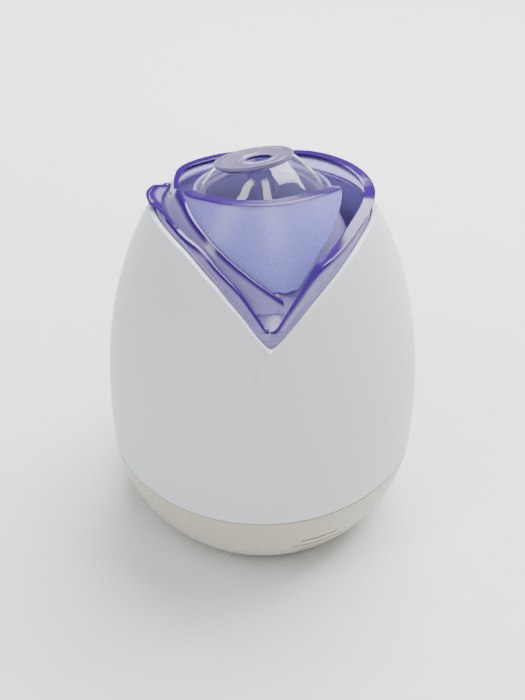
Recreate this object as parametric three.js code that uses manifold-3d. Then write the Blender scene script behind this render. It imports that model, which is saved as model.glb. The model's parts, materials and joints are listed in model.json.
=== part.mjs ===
// A tabletop cool mist humidifier shaped like a closed tulip bud.
// Millimetres, +Z up. The origin is the centre of the footprint, on the surface that the feet stand on.
// Azimuths are in degrees about Z: 0 is the right side (+X), 90 the back, 180 the left, 270 the front.
import * as THREE from "three";
import { mergeVertices } from "three/addons/utils/BufferGeometryUtils.js";
import Module from "manifold-3d";

// ---------------------------------------------------------------- driving dimensions

const FIT = 0.3; // gap between two fixed pieces that touch
const LOOSE = 0.8; // gap around a piece that slides or turns

// The outline: a base bowl below the seam, and an egg-shaped crown above it.
const BODY_RADIUS = 99.3; // at the seam, the widest place
const SEAM_HEIGHT = 62;
const BASE_DROP = 90; // depth at which the base's outline would close
const BASE_POWER = 2;
const CROWN_RISE = 193; // height above the seam at which the crown's outline would close
const CROWN_POWER = 2.15;
const SEAM_GAP = 0.5;

// Facets around a full turn of large, medium and small round pieces.
const LARGE = 40;
const SWEEP = 48; // of the swept walls
const CROWDING = 1.5; // how much a swept wall's facets shorten towards its top
const ARC_END = 0.4; // the narrowest facet at an arc's ends, in degrees
const MEDIUM = 16;
const SMALL = 8;

const BASE_WALL = 2.5;
const TANK_WALL = 2.6;

// The tank's neckline: degrees away from its front notch, height above the seam.
const NOTCH_AZIMUTH = 273;
const NOTCH_ROUND = 1.2; // how softly the two sides meet at the notch, in degrees
const NECKLINE_RIGHT = [[0, 111], [3, 115], [8, 121.5], [13, 127.5], [20, 134], [29, 140.3], [38, 145.3],
  [50, 149.7], [65, 152], [80, 152.4], [130, 150], [180, 149]];
const NECKLINE_LEFT = [[0, 111], [3, 115.5], [9, 125], [15, 132], [22, 138.9], [36, 147.7], [47, 151.2],
  [59, 153.2], [77, 153.9], [120, 152], [180, 149]];

// The floor of the base, its feet and its screws.
const FOOT = { height: 3, radius: 7.5, taper: 0.8, inset: 10.5, azimuth: 60 };
const COVER = { thickness: 2.5, lip: 6.6, ledge: 4, boss: 3.6, bossRadius: 5.5 };
const COVER_SCREW = { inset: 10.5, shank: 1.5, head: 3.2, headDepth: 2.6, length: 15 };
const DECK_BOSS_RADIUS = 4;

// The deck that closes the base and holds the water basin.
const DECK = { thickness: 2.5, drop: 0.9, ledge: 4, shelf: 26.3, basinDepth: 25 };
const WELL = { radius: 12, wall: 6.5, depth: 5.5, throat: 9 };

// The mist maker under the well.
const SEAL = { outer: 12, inner: 8, thickness: 1.5 };
const TRANSDUCER = { radius: 11, thickness: 0.9 };
const CLAMP = { outer: 18, inner: 9, thickness: 2.4, screws: 3 };
const CLAMP_SCREW = { circle: 15.2, shank: 1.2, head: 2.3, headDepth: 1.6, length: 9 };

// The fan and the duct that carries its air up through the deck.
const FAN = { size: 40, depth: 10.5, bore: 18.6, hub: 8, blades: 7, pitch: 32, strut: 1.6, gapBelow: 8.5 };
const FAN_PLACE = [34, 46]; // azimuth and distance of its axis; one side faces the well
const GRILLE = { slots: 5, pitch: 6, width: 3, length: 26 };
const DUCT = { outer: 13, bore: 11.5, freeboard: 7 };

// The electronics.
const BOARD = { length: 40, width: 32, thickness: 1.6, centre: [-29, 27], standoff: 4.2, post: 2.5 };
const HEAT_SINK = { length: 17, width: 15, plate: 2.5, fin: 1.4, fins: 5, height: 11 };
const KNOB = { azimuth: 90, height: 28, radius: 7.5, stand: 3.2, shaft: 2.8, ribs: 12, flute: 0.9 };
const POT = { radius: 8, depth: 7 };
const JACK = { azimuth: 118, height: 24, width: 13, tall: 10, depth: 12, bore: 3.2, bezel: 5.2 };

// Three air slots low on the right of the base's front: azimuth of the middle, height, half-angle.
const SLOTS = [[291, 40, 7], [291, 33, 10.5], [292.5, 25.5, 8.5]];
const SLOT_HEIGHT = 1.4;

// The float that shows a low water level.
const FLOAT = { azimuth: 252, distance: 46, radius: 9, height: 9, bevel: 1, post: 3, travel: 8 };

// The tank's floor, its filler spout, its cap and the valve in the cap.
const TANK_FLOOR = { thickness: 2.6, drop: 2.4, skirtInset: 4, skirtWall: 2, skirtDepth: 8 };
const MIST_TUBE = { radius: 24, topRadius: 19, wall: 2, dip: 13, flange: 5, below: 20 };
const SPOUT = { radius: 12.5, wall: 2 };
const CAP = { wall: 1.8, height: 10.5, floor: 2.2, ribs: 8, azimuth: 169 };
const GASKET = { thickness: 1.5 };
const VALVE = { seat: 5.2, stem: 1.6, disc: 7.2, discThickness: 1.6, tail: 7, flange: 4,
  flangeThickness: 1 };
const GUIDE = { wall: 1.3, spoke: 1.6 };
const SPRING = { radius: 3, wire: 0.45, turns: 4 };

// The collar inside the neckline, and the lid that rests on it.
const NECK = { seat: 114.5, height: 13, wall: 2.2, rest: 2.5 };
const LID = { wall: 2, rise: 1.5, clearance: 0.4, notchRise: 3.5, collar: 38, collarWall: 2, ledge: 5,
  collarHeight: 156, lip: 2.6, floor: 2 };

// The nozzle: a clear dome, cut off by a slanted disc, with a tube under the outlet.
const DOME = { wall: 1.6, foot: 3 };
// Heights and radii of the dome's outside.
const DOME_OUTLINE = [[0, 35.5], [3, 34.5], [7, 31.3], [11, 27.3], [15, 22.9], [20.5, 15.3], [28, 5]];
const DISC = { tilt: 12, lean: 140, offset: 6.2, height: 16.2, long: 22, short: 21.4, thickness: 2 };
const OUTLET = { long: 6.6, short: 6, offset: 4, border: 4, dip: 0.8 };
const NOZZLE_TUBE = { radius: 8.2, wall: 1.2, rise: 1 };

// The petals. Every list is [azimuth, value] along the petal's sweep.
const PETAL_GAP = FIT;
const CONE_GAP = 0.7; // at the sections, and less between them
const PETAL_WALL = 2;
const RIM_GROWTH = 2.2; // how late a petal's wall thickens towards its rim
const OUTER_INSET = TANK_WALL + LID.clearance; // outer petals and the lid's wall, inwards from the outline
const INNER_INSET = 7; // the spiral petal's inner turn
const FRONT_INSET = 11; // the front petal
const RIGHT_PETAL = {
  from: 273,
  to: 639,
  rimHeight: [[272, 117], [276, 121.5], [280, 128], [288, 138], [295, 144.6], [304, 148], [311, 150.4],
    [319, 153], [331, 156], [350, 159], [365, 159.5], [380, 161], [395, 162], [420, 161.5], [440, 159.5],
    [480, 159], [500, 159.5], [520, 160.5], [540, 161], [549, 163], [568, 162.6], [582, 159.5], [596, 155],
    [608, 149.8], [620, 143.3], [630, 136.8], [639, 130]],
  rimInset: [[272, 1], [319, 1], [331, 0], [350, -3], [365, -4.8], [380, -6.2], [395, -6.4], [420, -6],
    [440, -4.3], [480, -3.8], [500, -2.4], [510, 0], [520, 3.6], [535, 7.6], [549, 8.4], [639, 8]],
  rimWidth: [[272, 1.5], [280, 2.5], [290, 4.5], [305, 5.8], [320, 6.3], [480, 6.5], [510, 4.5], [535, 2.6],
    [560, 2], [639, 1.8]],
  footInset: [[272, 3], [470, 3], [500, 5.7], [525, 7], [639, 7]],
};
const RIGHT_PETAL_LEAVES_WALL = 531; // from here its foot comes down inside the lid's wall
const RIGHT_PETAL_ON_CONE = 560;
const LEFT_PETAL = {
  from: 159,
  to: 272.5,
  rimHeight: [[159, 154.5], [164, 156], [171, 158.5], [180, 158.5], [190, 156.5], [201, 155.3], [218, 155.3],
    [228, 153.6], [240, 150.7], [249, 145.3], [260, 136.8], [266, 128.6], [272.5, 117.5]],
  rimInset: [[159, 1.5], [164, -1], [171, -4], [180, -5.7], [188, -3], [196, 0.5], [205, 2.5], [225, 3],
    [272.5, 3]],
};
const FRONT_PETAL = {
  from: 195,
  to: 350,
  rimWidth: 6.5,
  rimHeight: [[196, 164], [206, 165], [225, 167.2], [243, 168.2], [270, 169], [299, 169.2], [320, 168.5],
    [338, 166.5], [350, 164.5]],
  footRise: [[196, 0], [279, 0], [285, 5.1], [291, 10.5], [297, 15], [303, 18.8], [313, 21.8], [319, 23.9],
    [330, 26.6], [350, 30]], // how far its lower edge runs above the cone
};

// ---------------------------------------------------------------- worked-out sizes

const seamInside = BODY_RADIUS - BASE_WALL;
const deckRadius = seamInside - FIT;
const deckTop = SEAM_HEIGHT - DECK.drop;
const basinRadius = deckRadius - DECK.shelf;
const basinFloor = deckTop - DECK.basinDepth;
const wellFloor = basinFloor - WELL.depth;
const wellUnderside = wellFloor - DECK.thickness;
const coverTop = FOOT.height + COVER.thickness;
const coverRadius = outline(FOOT.height) - COVER.lip;
const screwCircle = coverRadius - COVER_SCREW.inset;
const footCircle = coverRadius - FOOT.inset;
const fanBottom = coverTop + FAN.gapBelow;
const fanTop = fanBottom + FAN.depth;
const tankBottom = SEAM_HEIGHT + TANK_FLOOR.drop;
const tankFloorTop = tankBottom + TANK_FLOOR.thickness;
const capInner = SPOUT.radius + LOOSE;
const capOuter = capInner + CAP.wall;
const capDistance = MIST_TUBE.radius + capOuter + LOOSE + 1.5;
const capTop = tankBottom - LOOSE;
const capBottom = capTop - CAP.height;
const gasketBottom = capBottom + CAP.floor + FIT;
const spoutBottom = gasketBottom + GASKET.thickness + FIT;
const facetSag = BODY_RADIUS * (1 - Math.cos(Math.PI / LARGE));
const neckTop = SEAM_HEIGHT + NECK.seat - FIT;
const lidBottom = SEAM_HEIGHT + NECK.seat;
const collarTop = SEAM_HEIGHT + LID.collarHeight;
const domeBottom = collarTop + DOME.foot;

// ---------------------------------------------------------------- the outline and its helpers

/** Radius of the object's outline at a height. */
function outline(height) {
  const above = height >= SEAM_HEIGHT;
  const share = above ? (height - SEAM_HEIGHT) / CROWN_RISE : (SEAM_HEIGHT - height) / BASE_DROP;
  return BODY_RADIUS * Math.sqrt(1 - share ** (above ? CROWN_POWER : BASE_POWER));
}

/** A smooth function through [x, y] points. */
function through(points) {
  const slope = (i) => {
    const a = points[Math.max(i - 1, 0)];
    const b = points[Math.min(i + 1, points.length - 1)];
    return (b[1] - a[1]) / (b[0] - a[0]);
  };
  return (x) => {
    const i = points.findIndex((point) => point[0] >= x);
    if (i === 0) return points[0][1];
    if (i < 0) return points.at(-1)[1];
    const [a, b] = [points[i - 1], points[i]];
    const width = b[0] - a[0];
    const t = (x - a[0]) / width;
    const rise = a[1] * (2 * t ** 3 - 3 * t ** 2 + 1) + b[1] * (3 * t ** 2 - 2 * t ** 3);
    return rise + width * (slope(i - 1) * (t ** 3 - 2 * t ** 2 + t) + slope(i) * (t ** 3 - t ** 2));
  };
}

const necklineRight = through(NECKLINE_RIGHT);
const necklineLeft = through(NECKLINE_LEFT);

/** Height of the tank's rim at an azimuth. */
function neckline(azimuth) {
  const away = ((azimuth - NOTCH_AZIMUTH + 540) % 360) - 180;
  const softened = Math.hypot(away, NOTCH_ROUND) - NOTCH_ROUND;
  return SEAM_HEIGHT + (away >= 0 ? necklineRight : necklineLeft)(softened);
}

const mix = (a, b, t) => a + (b - a) * t;
const radians = THREE.MathUtils.degToRad;
const around = (azimuth, radius, height) =>
  new THREE.Vector3(radius * Math.cos(radians(azimuth)), radius * Math.sin(radians(azimuth)), height);
const steps = (count) => Array.from({ length: count }, (_, i) => i);

/** count + 1 values from a to b. */
const spaced = (a, b, count) => steps(count + 1).map((i) => mix(a, b, i / count));

// ---------------------------------------------------------------- solids

const wasm = await Module();
wasm.setup();

/** A closed geometry as a manifold-3d solid. */
function solid(geometry) {
  const bare = geometry.clone().deleteAttribute("normal").deleteAttribute("uv");
  const merged = mergeVertices(bare, 1e-4);
  const vertProperties = new Float32Array(merged.attributes.position.array);
  const triVerts = new Uint32Array(merged.index.array);
  return new wasm.Manifold(new wasm.Mesh({ numProp: 3, vertProperties, triVerts }));
}

/** A manifold-3d solid as a geometry with flat faces. */
function geometryOf(body) {
  const mesh = body.getMesh();
  const geometry = new THREE.BufferGeometry();
  geometry.setAttribute("position", new THREE.BufferAttribute(new Float32Array(mesh.vertProperties), 3));
  geometry.setIndex(new THREE.BufferAttribute(new Uint32Array(mesh.triVerts), 1));
  const flat = geometry.toNonIndexed();
  flat.computeVertexNormals();
  return flat;
}

/** Joins the pieces, then takes the cuts away. */
function carve(pieces, cuts = []) {
  const joined = pieces.map(solid).reduce((a, b) => a.add(b));
  return geometryOf(cuts.map(solid).reduce((a, b) => a.subtract(b), joined));
}

/** A solid of revolution about Z from a closed [radius, height] outline, given either way round. */
function turned(points, segments = MEDIUM) {
  const closed = [...points, points[0]].map(([radius, height]) => new THREE.Vector2(radius, height));
  const ordered = THREE.ShapeUtils.area(closed) > 0 ? closed : closed.reverse();
  return new THREE.LatheGeometry(ordered, segments).rotateX(Math.PI / 2);
}

/** A ring or, with no inner radius, a cylinder, standing from bottom to top. */
function ring(outer, inner, bottom, top, segments = MEDIUM) {
  return turned([[inner, bottom], [outer, bottom], [outer, top], [inner, top]], segments);
}

const rod = (radius, bottom, top, segments = MEDIUM) => ring(radius, 0, bottom, top, segments);

/** A box from its low and high corners. */
function block([x0, y0, z0], [x1, y1, z1]) {
  const box = new THREE.BoxGeometry(x1 - x0, y1 - y0, z1 - z0);
  return box.translate((x0 + x1) / 2, (y0 + y1) / 2, (z0 + z1) / 2);
}

/**
 * A wall swept through azimuths. sectionAt gives [radius, height] points: the outside from the bottom up,
 * then as many on the inside from the top down. A full turn closes on itself, and an arc by its two ends.
 */
function swept(sectionAt, azimuths, fullTurn) {
  const sections = azimuths.map((azimuth) => sectionAt(azimuth).map(([r, z]) => around(azimuth, r, z)));
  const count = sections[0].length;
  const positions = sections.flat().flatMap((point) => point.toArray());
  const indices = [];
  const quad = (a, b, c, d) => indices.push(a, b, c, a, c, d);
  const spans = fullTurn ? sections.length : sections.length - 1;
  for (let i = 0; i < spans; i += 1) {
    const here = i * count;
    const next = ((i + 1) % sections.length) * count;
    for (let j = 0; j < count; j += 1) {
      const up = (j + 1) % count;
      quad(here + j, next + j, next + up, here + up);
    }
  }
  if (!fullTurn) {
    const last = (sections.length - 1) * count;
    for (let j = 0; j < count / 2 - 1; j += 1) {
      const [a, b, c, d] = [j, j + 1, count - 2 - j, count - 1 - j];
      quad(a, b, c, d);
      quad(last + d, last + c, last + b, last + a);
    }
  }
  const geometry = new THREE.BufferGeometry();
  geometry.setAttribute("position", new THREE.Float32BufferAttribute(positions, 3));
  geometry.setIndex(indices);
  return geometryOf(solid(geometry));
}

/** The azimuths of a full turn's sections, from the notch on, with two more on each side of the notch. */
function fullTurn() {
  const even = 360 / SWEEP;
  const near = [even / 4, even / 2, 360 - even / 2, 360 - even / 4];
  const away = [...steps(SWEEP).map((i) => i * even), ...near].sort((a, b) => a - b);
  return away.map((degrees) => NOTCH_AZIMUTH + degrees);
}

/** The azimuths of an arc's sections: its two ends, and those of the full turn between them. */
function stations(from, to) {
  const turns = [-360, 0, 360].flatMap((turn) => fullTurn().map((azimuth) => azimuth + turn));
  const between = turns.filter((azimuth) => azimuth > from + ARC_END && azimuth < to - ARC_END);
  return [from, ...between, to];
}

/** A section that follows the outline at two insets, its facets shorter towards the top. */
function wallSection(bottom, top, outerInset, innerInset, count) {
  const heights = spaced(0, 1, count).map((t) => mix(top, bottom, (1 - t) ** CROWDING));
  const outer = heights.map((z) => [outline(z) - outerInset, z]);
  const inner = heights.map((z) => [outline(z) - innerInset, z]).reverse();
  return [...outer, ...inner];
}

// ---------------------------------------------------------------- materials

const colours = {
  satinWhite: { color: 0xeceeec, roughness: 0.45, metalness: 0 },
  milkyGrey: { color: 0xd3d1c6, roughness: 0.35, metalness: 0 },
  lavender: { color: 0xa9a6dc, roughness: 0.3, metalness: 0 },
  violet: { color: 0x5a2aa6, roughness: 0.25, metalness: 0 },
  clear: { color: 0xdcdcf4, roughness: 0.1, metalness: 0 },
  innerPlastic: { color: 0xdfe2e4, roughness: 0.5, metalness: 0 },
  blackPlastic: { color: 0x24262a, roughness: 0.55, metalness: 0 },
  rubber: { color: 0x3a3c40, roughness: 0.85, metalness: 0 },
  steel: { color: 0xb8bcc0, roughness: 0.35, metalness: 1 },
  aluminium: { color: 0xc6c9cc, roughness: 0.4, metalness: 1 },
  board: { color: 0x2f6b45, roughness: 0.5, metalness: 0 },
  ceramic: { color: 0xd9c48c, roughness: 0.3, metalness: 0.4 },
};

function piece(name, geometry, colour) {
  const mesh = new THREE.Mesh(geometry, new THREE.MeshStandardMaterial(colours[colour]));
  mesh.name = name;
  return mesh;
}

/** The same, stood at a place on the floor plane. */
function pieceAt(name, geometry, colour, azimuth, distance) {
  const mesh = piece(name, geometry, colour);
  mesh.position.copy(around(azimuth, distance, 0));
  return mesh;
}

const moved = (geometry, azimuth, distance) => {
  const place = around(azimuth, distance, 0);
  return geometry.clone().translate(place.x, place.y, 0);
};

// ---------------------------------------------------------------- base: housing

/** The frame of something set in the base's wall: its origin on the outline, its +Z straight out. */
function wallFrame(azimuth, height) {
  const reach = 0.5;
  const slope = (outline(height + reach) - outline(height - reach)) / (2 * reach);
  const outwards = around(azimuth, 1, -slope).normalize();
  const place = around(azimuth, outline(height), height);
  const sideways = around(azimuth + 90, 1, 0);
  const up = new THREE.Vector3().crossVectors(outwards, sideways);
  return new THREE.Matrix4().makeBasis(sideways, up, outwards).setPosition(place);
}

const knobFrame = wallFrame(KNOB.azimuth, KNOB.height);
const jackFrame = wallFrame(JACK.azimuth, JACK.height);

function slotCut([azimuth, height, halfAngle]) {
  const band = (inset) => [outline(height) - inset, height];
  const section = () => {
    const [outer, middle] = band(-BASE_WALL);
    const [inner] = band(3 * BASE_WALL);
    const half = SLOT_HEIGHT / 2;
    return [[outer, middle - half], [outer, middle + half], [inner, middle + half], [inner, middle - half]];
  };
  return swept(section, spaced(azimuth - halfAngle, azimuth + halfAngle, 6), false);
}

function baseShell() {
  const top = SEAM_HEIGHT - SEAM_GAP / 2;
  const ledgeTop = deckTop - DECK.thickness - FIT;
  const ledgeBottom = ledgeTop - DECK.thickness;
  const lipTop = coverTop + FIT + COVER.thickness;
  const outside = spaced(FOOT.height, top, 7).map((z) => [outline(z), z]);
  const inside = spaced(ledgeBottom, lipTop, 4).map((z) => [outline(z) - BASE_WALL, z]);
  const deckSeat = [[seamInside, top], [seamInside, ledgeTop], [seamInside - DECK.ledge, ledgeTop]];
  const underLedge = [[seamInside - DECK.ledge, ledgeBottom]];
  const coverSeat = [[coverRadius - COVER.ledge, lipTop], [coverRadius - COVER.ledge, coverTop + FIT],
    [coverRadius + FIT, coverTop + FIT], [coverRadius + FIT, FOOT.height]];
  const shell = turned([...outside, ...deckSeat, ...underLedge, ...inside, ...coverSeat], LARGE);
  const knobHole = rod(KNOB.shaft + LOOSE, -3 * BASE_WALL, 3 * BASE_WALL).applyMatrix4(knobFrame);
  const jackHole = rod(JACK.bezel, -3 * BASE_WALL, 3 * BASE_WALL).applyMatrix4(jackFrame);
  return carve([shell], [knobHole, jackHole, ...SLOTS.map(slotCut)]);
}

function bottomCover() {
  const plate = rod(coverRadius, FOOT.height, coverTop, LARGE);
  const quarter = steps(4).map((i) => 90 * i);
  const bossTop = coverTop + COVER.boss;
  const boss = rod(COVER.bossRadius, FOOT.height, bossTop);
  const headHole = rod(COVER_SCREW.head + FIT, 0, FOOT.height + COVER_SCREW.headDepth + 2 * FIT);
  const shankHole = rod(COVER_SCREW.shank + FIT, 0, 2 * bossTop, SMALL);
  const [bosses, headHoles, shankHoles] = [boss, headHole, shankHole].map((shape) =>
    quarter.map((azimuth) => moved(shape, azimuth, screwCircle)));
  const posts = boardCorners().map(([x, y]) =>
    rod(BOARD.post, FOOT.height, coverTop + BOARD.standoff - FIT, SMALL).translate(x, y, 0));
  const grille = steps(GRILLE.slots).map((i) => {
    const y = (i - (GRILLE.slots - 1) / 2) * GRILLE.pitch;
    const [halfLength, halfWidth] = [GRILLE.length / 2, GRILLE.width / 2];
    const cut = block([-halfLength, y - halfWidth, 0], [halfLength, y + halfWidth, 2 * coverTop]);
    return moved(cut.rotateZ(radians(FAN_PLACE[0])), ...FAN_PLACE);
  });
  return carve([plate, ...bosses, ...posts], [...headHoles, ...shankHoles, ...grille]);
}

function foot() {
  const top = FOOT.height - FIT;
  return turned([[0, 0], [FOOT.radius, 0], [FOOT.radius - FOOT.taper, top], [0, top]]);
}

/** A round-headed screw pointing up, its head's underside at height 0. */
function screw({ shank, head, headDepth, length }) {
  const body = turned([[0, -headDepth], [head * 0.7, -headDepth], [head, -headDepth / 2], [head, 0],
    [shank, 0], [shank, length - shank], [0, length]], SMALL);
  const slot = block([-0.4, -head * 0.6, -2 * headDepth], [0.4, head * 0.6, -headDepth * 0.6]);
  const cross = slot.clone().rotateZ(Math.PI / 2);
  return carve([body], [slot, cross]);
}

// ---------------------------------------------------------------- base: deck and water basin

/** The ring that closes the base around the water basin, with the basin's wall. */
function deck() {
  const flangeBottom = deckTop - DECK.thickness;
  const basinOutside = basinRadius + DECK.thickness;
  return turned([[deckRadius, deckTop], [basinRadius, deckTop], [basinRadius, basinFloor + FIT],
    [basinOutside, basinFloor + FIT], [basinOutside, flangeBottom], [deckRadius, flangeBottom]], LARGE);
}

/** The basin's floor, with the well, the air chimney, two posts and the cover screws' bosses. */
function basin() {
  const underside = basinFloor - DECK.thickness;
  const wellOutside = WELL.radius + WELL.wall;
  const pan = turned([[basinRadius + DECK.thickness, basinFloor], [WELL.radius, basinFloor],
    [WELL.radius, wellFloor], [WELL.throat, wellFloor], [WELL.throat, wellUnderside],
    [wellOutside, wellUnderside], [wellOutside, underside],
    [basinRadius + DECK.thickness, underside]], LARGE);
  const chimney = moved(rod(DUCT.outer, underside, deckTop - DUCT.freeboard), ...FAN_PLACE);
  const chimneyBore = moved(rod(DUCT.bore, 0, 2 * deckTop), ...FAN_PLACE);
  const quarter = steps(4).map((i) => 90 * i);
  const bossBottom = coverTop + COVER.boss + FIT;
  const bosses = quarter.map((a) => moved(rod(DECK_BOSS_RADIUS, bossBottom, underside + 1), a, screwCircle));
  const screwBore = rod(COVER_SCREW.shank + FIT, 0, underside - 2, SMALL);
  const clampBore = rod(CLAMP_SCREW.shank + FIT, 0, underside + 1, SMALL);
  const bossBores = quarter.map((a) => moved(screwBore, a, screwCircle));
  const clampBores = clampAzimuths().map((a) => moved(clampBore, a, CLAMP_SCREW.circle));
  const floatTop = basinFloor + FLOAT.height + FLOAT.travel + 2;
  const floatPost = moved(rod(FLOAT.post, underside, floatTop, SMALL), FLOAT.azimuth, FLOAT.distance);
  const valvePostTop = capBottom - VALVE.tail - FIT;
  const valvePost = moved(rod(VALVE.flange - 1, underside, valvePostTop, SMALL), CAP.azimuth, capDistance);
  return carve([pan, chimney, ...bosses, floatPost, valvePost], [chimneyBore, ...bossBores, ...clampBores]);
}

const clampAzimuths = () => steps(CLAMP.screws).map((i) => 30 + (360 * i) / CLAMP.screws);
const sealTop = wellUnderside - FIT;
const transducerTop = sealTop - SEAL.thickness - FIT;
const clampTop = transducerTop - TRANSDUCER.thickness - FIT;
const clampBottom = clampTop - CLAMP.thickness;

const transducerSeal = () => ring(SEAL.outer, SEAL.inner, sealTop - SEAL.thickness, sealTop);
const transducer = () => rod(TRANSDUCER.radius, transducerTop - TRANSDUCER.thickness, transducerTop);

function transducerClamp() {
  const rimTop = sealTop;
  const plate = ring(CLAMP.outer, CLAMP.inner, clampBottom, clampTop);
  const rim = ring(CLAMP.outer, SEAL.outer + FIT, clampBottom, rimTop);
  const holes = clampAzimuths().map((a) => moved(rod(CLAMP_SCREW.shank + FIT, 0, 2 * rimTop, SMALL), a,
    CLAMP_SCREW.circle));
  return carve([plate, rim], holes);
}

function levelFloat() {
  const inner = FLOAT.post + LOOSE;
  const bottom = basinFloor + FIT;
  const top = bottom + FLOAT.height;
  const { radius, bevel } = FLOAT;
  return turned([[inner, bottom], [radius - bevel, bottom], [radius, bottom + bevel], [radius, top - bevel],
    [radius - bevel, top], [inner, top]]);
}

// ---------------------------------------------------------------- base: fan, board and sockets

function fanFrame() {
  const half = FAN.size / 2;
  const box = block([-half, -half, fanBottom], [half, half, fanTop]);
  const bore = rod(FAN.bore, fanBottom - 1, fanTop + 1);
  const strutTop = fanBottom + FAN.strut;
  const motor = rod(FAN.hub, fanBottom, strutTop);
  const struts = steps(3).map((i) =>
    block([-1, 0, fanBottom], [1, FAN.bore + 1, strutTop]).rotateZ(radians(60 + 120 * i)));
  const opened = solid(box).subtract(solid(bore));
  const frame = [motor, ...struts].map(solid).reduce((a, b) => a.add(b), opened);
  return geometryOf(frame).rotateZ(radians(FAN_PLACE[0]));
}

function fanRotor() {
  const bottom = fanBottom + FAN.strut + LOOSE;
  const top = fanTop - LOOSE;
  const tip = FAN.bore - LOOSE;
  const hub = rod(FAN.hub, bottom, top);
  const height = (top - bottom) * 0.8;
  const blades = steps(FAN.blades).map((i) =>
    new THREE.BoxGeometry(tip - FAN.hub + 1, 1, height)
      .rotateX(radians(FAN.pitch))
      .translate((tip + FAN.hub - 1) / 2, 0, (top + bottom) / 2)
      .rotateZ(radians((360 * i) / FAN.blades)));
  const limit = rod(tip, bottom, top);
  const whole = [hub, ...blades].map(solid).reduce((a, b) => a.add(b));
  return geometryOf(whole.intersect(solid(limit)));
}

function airDuct() {
  const bottom = fanTop + FIT;
  const top = basinFloor - DECK.thickness - FIT;
  const wide = FAN.size / 2 - 0.5;
  return turned([[FAN.bore, bottom], [wide, bottom], [wide, bottom + 1.5], [DUCT.outer, top - 1],
    [DUCT.outer, top], [DUCT.bore, top], [DUCT.bore, top - 1], [FAN.bore, bottom + 1.5]]);
}

function boardCorners() {
  const [x, y] = BOARD.centre;
  const dx = BOARD.length / 2 - 4;
  const dy = BOARD.width / 2 - 4;
  return [[x - dx, y - dy], [x + dx, y - dy], [x + dx, y + dy], [x - dx, y + dy]];
}

function driverBoard() {
  const [x, y] = BOARD.centre;
  const bottom = coverTop + BOARD.standoff;
  const top = bottom + BOARD.thickness;
  const plate = block([x - BOARD.length / 2, y - BOARD.width / 2, bottom],
    [x + BOARD.length / 2, y + BOARD.width / 2, top]);
  const coil = rod(5, top - 0.5, top + 8, SMALL).translate(x + 14, y - 9, 0);
  const capacitor = rod(3.5, top - 0.5, top + 10, SMALL).translate(x + 14, y + 8, 0);
  const chip = block([x + 1, y - 4, top - 0.5], [x + 8, y + 3, top + 1.5]);
  return carve([plate, coil, capacitor, chip]);
}

function heatSink() {
  const [x, y] = BOARD.centre;
  const bottom = coverTop + BOARD.standoff + BOARD.thickness + FIT;
  const left = x - BOARD.length / 2 + 2;
  const front = y - HEAT_SINK.width / 2;
  const plate = block([left, front, bottom], [left + HEAT_SINK.length, front + HEAT_SINK.width,
    bottom + HEAT_SINK.plate]);
  const pitch = (HEAT_SINK.length - HEAT_SINK.fin) / (HEAT_SINK.fins - 1);
  const fins = steps(HEAT_SINK.fins).map((i) => block([left + i * pitch, front, bottom],
    [left + i * pitch + HEAT_SINK.fin, front + HEAT_SINK.width, bottom + HEAT_SINK.height]));
  return carve([plate, ...fins]);
}

function controlKnob() {
  const bottom = FIT + 0.4;
  const top = KNOB.stand;
  const cap = turned([[0, bottom], [KNOB.radius, bottom], [KNOB.radius, top - 1], [KNOB.radius - 1, top],
    [0, top]]);
  const flutes = steps(KNOB.ribs).map((i) =>
    rod(KNOB.flute, bottom - 1, top + 1, 6).translate(KNOB.radius + FIT, 0, 0)
      .rotateZ((2 * Math.PI * i) / KNOB.ribs));
  const mark = block([-0.5, KNOB.radius * 0.35, top - 0.5], [0.5, KNOB.radius * 0.8, top + 1]);
  const bore = rod(KNOB.shaft + FIT, bottom - 1, top - 1);
  return carve([cap], [...flutes, mark, bore]);
}

const knobShaft = () => rod(KNOB.shaft, -BASE_WALL - LOOSE - 3, KNOB.stand - 1 - FIT);

function potentiometer() {
  const front = -BASE_WALL - 0.9;
  const body = rod(POT.radius, front - POT.depth, front);
  const lugs = block([-5, -POT.radius - 4, front - 3], [5, 0, front - 1.5]);
  const bore = rod(KNOB.shaft + LOOSE, -BASE_WALL - 3 * LOOSE - 3, 1);
  return carve([body, lugs], [bore]);
}

function dcJack() {
  const front = -BASE_WALL - 1.2;
  const [halfWidth, halfTall] = [JACK.width / 2, JACK.tall / 2];
  const body = block([-halfWidth, -halfTall, front - JACK.depth], [halfWidth, halfTall, front]);
  const nose = rod(JACK.bezel - FIT, front - 1, -0.6);
  const bore = rod(JACK.bore, front - JACK.depth + 3, 1);
  const pin = rod(1, front - JACK.depth + 2, -2, SMALL);
  const opened = solid(body).add(solid(nose)).subtract(solid(bore));
  return geometryOf(opened.add(solid(pin)));
}

// ---------------------------------------------------------------- tank

function bodyShell() {
  const bottom = SEAM_HEIGHT + SEAM_GAP / 2;
  return swept((azimuth) => wallSection(bottom, neckline(azimuth), 0, TANK_WALL, 8), fullTurn(), true);
}

/** A ring inside the shell, with a shelf that the lid rests on. */
function tankNeck() {
  const bottom = neckTop - NECK.height;
  const shelfBottom = neckTop - NECK.wall;
  const inside = (z) => [outline(z) - OUTER_INSET - NECK.wall, z];
  const narrowest = outline(SEAM_HEIGHT + Math.max(...NECKLINE_LEFT.map(([, height]) => height)));
  const hole = narrowest - OUTER_INSET - LID.wall - NECK.rest;
  const section = [...spaced(bottom, neckTop, 2).map((z) => [outline(z) - OUTER_INSET, z]), [hole, neckTop],
    [hole, shelfBottom], inside(shelfBottom), inside(bottom)];
  return swept(() => section, fullTurn(), true);
}

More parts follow.
